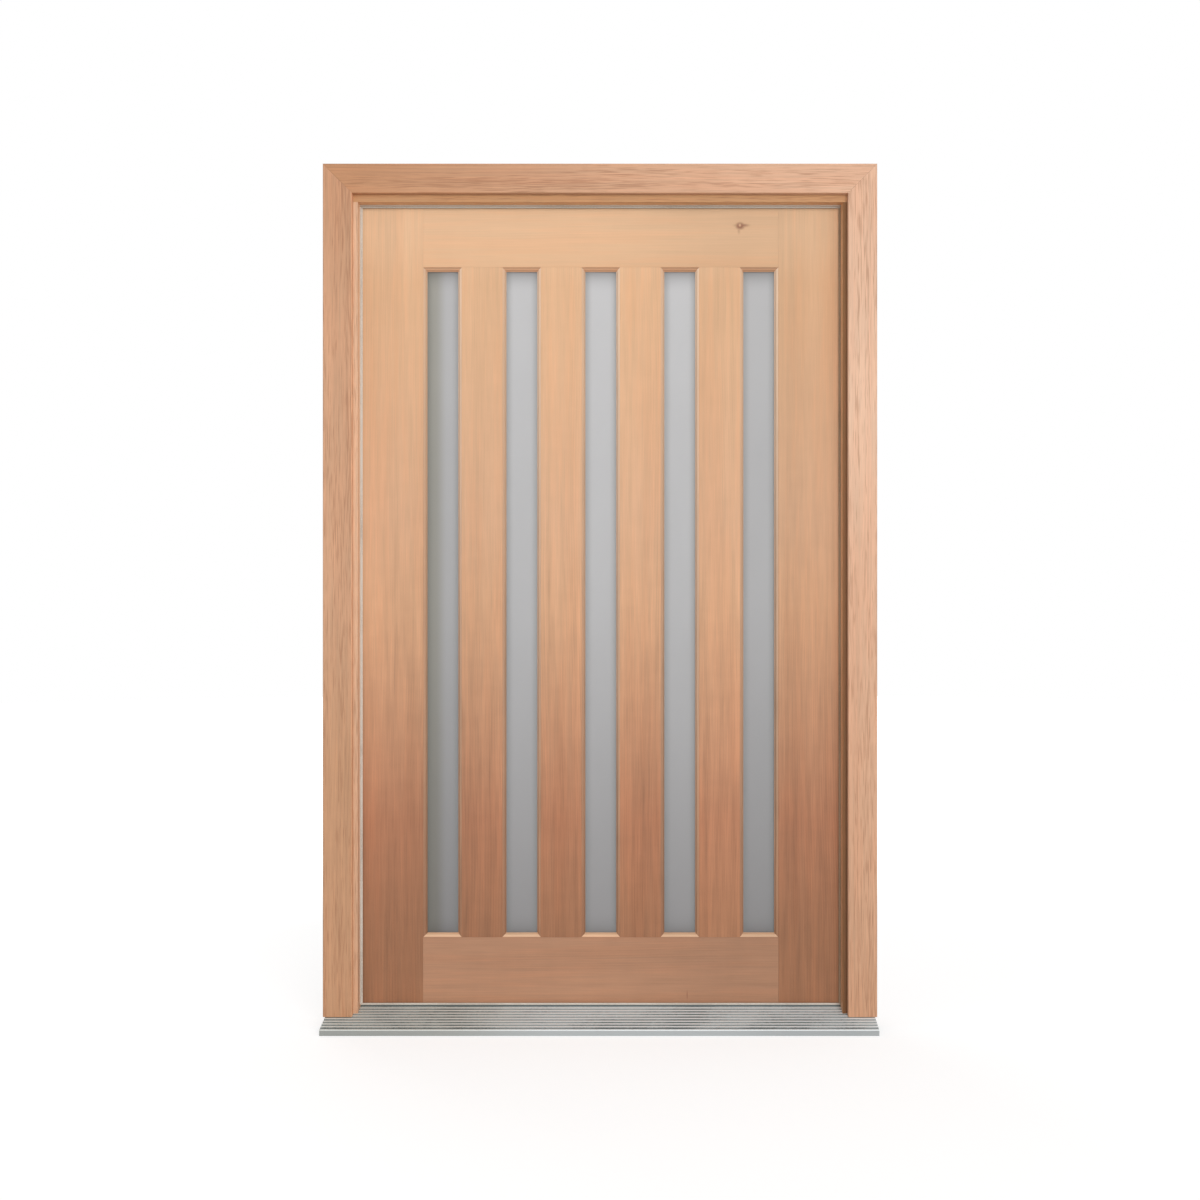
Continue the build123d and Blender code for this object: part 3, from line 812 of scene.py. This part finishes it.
def cross_bar(along, across, radius):
    """Depth from 0 to 1 of one bar of a cross recess, by the distances along and across it."""
    half_length, end_slope = 0.62 * radius, 0.14 * radius
    half_width, flank_slope = 0.17 * radius, 0.09 * radius
    ends = np.clip((half_length - np.abs(along)) / end_slope, 0, 1)
    flanks = np.clip((half_width - np.abs(across)) / flank_slope, 0, 1)
    return ends * flanks


def add_piece(name, points, faces, material, body):
    """Puts a worked-out surface into the scene as a piece that rides on a body."""
    mesh = bpy.data.meshes.new(name)
    mesh.from_pydata(points.tolist(), [], faces)
    mesh.polygons.foreach_set("use_smooth", np.ones(len(mesh.polygons), dtype=bool))
    mesh.materials.append(material)
    piece = bpy.data.objects.new(name, mesh)
    bpy.context.scene.collection.objects.link(piece)
    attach(piece, body)


class DOOR_OT_finish_leaf(bpy.types.Operator):
    """Gives the stiles, rails and muntins their fine timber"""

    bl_idname = "door.finish_leaf"
    bl_label = "Finish the leaf's bars"

    def execute(self, context):
        settings = context.scene.door_leaf_timber
        # Mouldings on a bar's left side in painted light, on its right side in painted shade
        lit = ("X", -1, (settings.lit_foot_colour, settings.lit_head_colour))
        dim = ("X", 1, (settings.dim_foot_colour, settings.dim_head_colour))
        # The lock stile's darker tone is painted shade, as light falls off to the right; the other tones
        # vary from bar to bar
        uprights = {
            "hinge_stile": (1.0, 1.0, [dim]),
            "muntin_1": (1.0, 1.1, [lit, dim]),
            "muntin_2": (1.02, 1.1, [lit, dim]),
            "muntin_3": (1.0, 1.2, [lit, dim]),
            "muntin_4": (0.96, 1.23, [lit, dim]),
            "lock_stile": (0.88, 1.09, [lit]),
        }
        for seed, (node, (head_tone, foot_tone, mouldings)) in enumerate(uprights.items()):
            stops = leaf_stops(settings, head_tone, foot_tone)
            dress(node, leaf_bar_material(node, settings, False, seed, stops, mouldings))
        # Painted shade on the top rail's moulding, painted light on the bottom rail's
        over = ("Z", -1, (settings.over_colour, settings.over_colour))
        stops = leaf_stops(settings, 1.0, 1.0)
        dress("top_rail", leaf_bar_material("top_rail", settings, True, 10, stops, [over]))
        under = ("Z", 1, (settings.under_colour, settings.under_colour))
        stops = spaced(settings.rail_colour, settings.rail_colour)
        dress("bottom_rail", leaf_bar_material("bottom_rail", settings, True, 11, stops, [under]))
        return {"FINISHED"}


class DOOR_OT_finish_beads(bpy.types.Operator):
    """Gives the glazing beads their timber, turned at the mitres"""

    bl_idname = "door.finish_beads"
    bl_label = "Finish the glazing beads"

    def execute(self, context):
        for number in range(1, LIGHTS + 1):
            dress(f"glazing_beads_{number}", bead_material(number, context.scene.door_leaf_timber))
        return {"FINISHED"}


class DOOR_OT_finish_panes(bpy.types.Operator):
    """Gives the panes their frosted glass"""

    bl_idname = "door.finish_panes"
    bl_label = "Finish the panes"

    def execute(self, context):
        for number in range(1, LIGHTS + 1):
            pane_tone = {1: 0.84, 3: 1.03, LIGHTS: 0.88}.get(number, 1.0)
            dress(f"glass_{number}", pane_material(number, context.scene.door_panes, pane_tone))
        return {"FINISHED"}


class DOOR_OT_finish_frame(bpy.types.Operator):
    """Gives the jambs and facings their open-grained timber"""

    bl_idname = "door.finish_frame"
    bl_label = "Finish the frame"

    def execute(self, context):
        settings = context.scene.door_frame_timber
        left_foot, left_head = settings.left_foot_tint, settings.left_head_tint
        left_grade = ((0.30, left_foot), (0.51, PLAIN), (0.80, PLAIN), (1.00, left_head))
        right_grade = (
            (0.00, settings.right_foot_tint),
            (0.51, settings.right_waist_tint),
            (0.76, PLAIN),
            (1.00, settings.right_head_tint),
        )
        facings = {
            "left": (settings.left_colour, settings.left_colour, left_grade),
            "head": (settings.head_left_colour, settings.head_right_colour, spaced(PLAIN, PLAIN)),
            "right": (settings.right_colour, settings.right_colour, right_grade),
        }
        jamb_grade = ((0.0, settings.jamb_foot_tint), (0.75, PLAIN))
        # Each front tint is painted shadow cast by the facing on the jamb's front edge, darkest on the right
        jambs = {
            "left": (settings.left_jamb_colour, (0.85, 0.85, 0.85)),
            "head": (settings.head_jamb_colour, (0.84, 0.84, 0.84)),
            "right": (settings.right_jamb_colour, (0.25, 0.20, 0.13)),
        }
        for seed, (side, (*ends, grade)) in enumerate(facings.items(), 40):
            facing = f"{side}_facing"
            dress(facing, frame_material(facing, settings, ends, grade, seed))
            jamb = f"{side}_jamb"
            colour, front_shadow_tint = jambs[side]
            ends = (colour, colour)
            dress(jamb, frame_material(jamb, settings, ends, jamb_grade, seed + 5, front_shadow_tint))
        return {"FINISHED"}


class DOOR_OT_finish_sill(bpy.types.Operator):
    """Gives the sill its anodised aluminium"""

    bl_idname = "door.finish_sill"
    bl_label = "Finish the sill"

    def execute(self, context):
        dress("sill", sill_material(context.scene.door_sill))
        return {"FINISHED"}


class DOOR_OT_finish_seals(bpy.types.Operator):
    """Gives the weather seals their pale rubber"""

    bl_idname = "door.finish_seals"
    bl_label = "Finish the weather seals"

    def execute(self, context):
        # Painted shade on each seal; the right seal's warm tint is also painted light reflected off the
        # timber
        shadows = {
            "left": PLAIN,
            "head": (0.8, 0.8, 0.8),
            "right": (0.6, 0.46, 0.34),
            "sill": (0.9, 0.9, 0.9),
        }
        for side, shadow in shadows.items():
            dress(f"{side}_seal", seal_material(side, context.scene.door_seals, shadow))
        return {"FINISHED"}


class DOOR_OT_finish_hinges(bpy.types.Operator):
    """Gives the hinges their satin steel"""

    bl_idname = "door.finish_hinges"
    bl_label = "Finish the hinges"

    def execute(self, context):
        material = steel_material("hinge satin steel", context.scene.door_hinges, False)
        for number in range(1, HINGES + 1):
            for half in ("frame_plate", "leaf_plate", "pin"):
                dress(f"hinge_{number}_{half}", material)
        return {"FINISHED"}


class DOOR_OT_add_screws(bpy.types.Operator):
    """Sets four staggered screws in every hinge plate"""

    bl_idname = "door.add_screws"
    bl_label = "Add the hinge screws"

    def execute(self, context):
        settings = context.scene.door_hinges
        material = steel_material("screw satin steel", settings, True)
        leaf_edge = LEAF_LOW.x
        for number in range(1, HINGES + 1):
            pin_low, pin_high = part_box(f"hinge_{number}_pin")
            pivot = (pin_low + pin_high) / 2
            frame_edge = 2 * pivot.x - leaf_edge
            plate_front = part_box(f"hinge_{number}_leaf_plate")[0].y
            row = (plate_front + LEAF_HIGH.y) / 2
            for body, face, outward in (("leaf", leaf_edge, -1.0), ("frame", frame_edge, 1.0)):
                places = [
                    (
                        face,
                        row + settings.screw_stagger * (0.5 - step % 2),
                        pivot.z + settings.screw_rise * (step - 1.5),
                    )
                    for step in range(4)
                ]
                points, faces = screw_heads(places, outward, settings)
                name = f"hinge_{number}_{body}_screws"
                add_piece(name, points, faces, material, body)
        return {"FINISHED"}


class DOOR_OT_set_stage(bpy.types.Operator):
    """Lays the floor, lights the studio and stands the camera in front of the door"""

    bl_idname = "door.set_stage"
    bl_label = "Set the stage"

    def execute(self, context):
        scene = context.scene
        settings = scene.door_stage
        lay_floor(scene, settings)
        light_world(scene, settings.ambient)
        target = Vector((0.0, 0.0, LEAF_HIGH.z / 2))
        hang_light(scene, "key light", settings.key_place, target, settings.key_power, settings.key_size)
        hang_light(scene, "back light", settings.back_place, target, settings.back_power, settings.back_size)
        camera = bpy.data.objects.new("camera", bpy.data.cameras.new("camera"))
        camera.data.lens = settings.lens
        camera.location = settings.camera_place
        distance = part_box("head_facing")[0].y - settings.camera_place[1]
        lens_share = settings.lens / camera.data.sensor_width
        camera.data.shift_x = -settings.camera_place[0] / distance * lens_share
        camera.rotation_euler = (pi / 2, 0.0, 0.0)
        scene.collection.objects.link(camera)
        scene.camera = camera
        scene.view_settings.view_transform = "Standard"
        return {"FINISHED"}


def seen_directly(tree):
    """1 for light that the camera, a reflection or a pane sees, and 0 for light on a surface."""
    path = tree.nodes.new("ShaderNodeLightPath").outputs
    shiny = calc(tree, "MAXIMUM", path["Is Glossy Ray"], path["Is Transmission Ray"])
    return calc(tree, "MAXIMUM", path["Is Camera Ray"], shiny)


def lay_floor(scene, settings):
    """A pale floor with a round rim of even steps, white to the eye where nothing shades it."""
    corners = 64
    angle = np.linspace(0, 2 * pi, corners, endpoint=False)
    rim = settings.floor_radius * np.stack((np.cos(angle), np.sin(angle), 0 * angle), axis=-1)
    mesh = bpy.data.meshes.new("studio_floor")
    mesh.from_pydata(rim.tolist(), [], [list(range(len(rim)))])
    material = bpy.data.materials.new("studio floor")
    tree = empty_tree(material)
    matt = place(tree, "ShaderNodeBsdfDiffuse", {"Color": settings.floor_colour})
    point = tree.nodes.new("ShaderNodeTexCoord").outputs["Object"]
    distance = vector_calc(tree, "LENGTH", point, output=1)
    far = fade(tree, distance, 0.5 * settings.floor_fade, settings.floor_fade)
    glow = times(tree, far, 1.0 - settings.floor_lift, settings.floor_lift)
    lift = times(tree, seen_directly(tree), glow)
    glow = place(tree, "ShaderNodeEmission", {"Strength": lift})
    both = place(tree, "ShaderNodeAddShader", {0: matt.outputs[0], 1: glow.outputs[0]})
    place(tree, "ShaderNodeOutputMaterial", {"Surface": both.outputs[0]})
    mesh.materials.append(material)
    floor = bpy.data.objects.new("studio_floor", mesh)
    scene.collection.objects.link(floor)


def light_world(scene, ambient):
    """A white surround that lights surfaces softly and shows as plain white."""
    world = bpy.data.worlds.new("studio")
    tree = empty_tree(world)
    strength = times(tree, seen_directly(tree), 1.0 - ambient, ambient)
    surround = place(tree, "ShaderNodeBackground", {"Color": (1.0, 1.0, 1.0), "Strength": strength})
    place(tree, "ShaderNodeOutputWorld", {"Surface": surround.outputs[0]})
    scene.world = world


def hang_light(scene, name, position, target, power, size):
    """A square soft light aimed at a point, which leaves no glare on what it lights."""
    light = bpy.data.lights.new(name, "AREA")
    light.energy = power
    light.size = size
    lamp = bpy.data.objects.new(name, light)
    lamp.location = position
    lamp.visible_glossy = False
    lamp.rotation_euler = (target - Vector(position)).to_track_quat("-Z", "Y").to_euler()
    scene.collection.objects.link(lamp)


class DOOR_PT_sidebar(bpy.types.Panel):
    """Lists the steps that dress the door"""

    bl_idname = "DOOR_PT_sidebar"
    bl_label = "Glazed door"
    bl_space_type = "VIEW_3D"
    bl_region_type = "UI"
    bl_category = "Door"

    def draw(self, context):
        for operator in OPERATORS:
            self.layout.operator(operator.bl_idname)


SETTINGS = {
    "door_leaf_timber": LeafTimberSettings,
    "door_frame_timber": FrameTimberSettings,
    "door_panes": PaneSettings,
    "door_sill": SillSettings,
    "door_seals": SealSettings,
    "door_hinges": HingeSettings,
    "door_stage": StageSettings,
}
OPERATORS = (
    DOOR_OT_finish_leaf,
    DOOR_OT_finish_beads,
    DOOR_OT_finish_panes,
    DOOR_OT_finish_frame,
    DOOR_OT_finish_sill,
    DOOR_OT_finish_seals,
    DOOR_OT_finish_hinges,
    DOOR_OT_add_screws,
    DOOR_OT_set_stage,
)


def register():
    """Makes the settings, the steps and the panel known."""
    for name, group in SETTINGS.items():
        bpy.utils.register_class(group)
        setattr(bpy.types.Scene, name, PointerProperty(type=group))
    for operator in OPERATORS:
        bpy.utils.register_class(operator)
    bpy.utils.register_class(DOOR_PT_sidebar)


def unregister():
    """Takes the panel, the steps and the settings away again."""
    bpy.utils.unregister_class(DOOR_PT_sidebar)
    for operator in reversed(OPERATORS):
        bpy.utils.unregister_class(operator)
    for name, group in SETTINGS.items():
        delattr(bpy.types.Scene, name)
        bpy.utils.unregister_class(group)


def main():
    """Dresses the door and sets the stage."""
    register()
    bpy.ops.door.finish_leaf()
    bpy.ops.door.finish_beads()
    bpy.ops.door.finish_panes()
    bpy.ops.door.finish_frame()
    bpy.ops.door.finish_sill()
    bpy.ops.door.finish_seals()
    bpy.ops.door.finish_hinges()
    bpy.ops.door.add_screws()
    bpy.ops.door.set_stage()


if __name__ == "__main__":
    main()
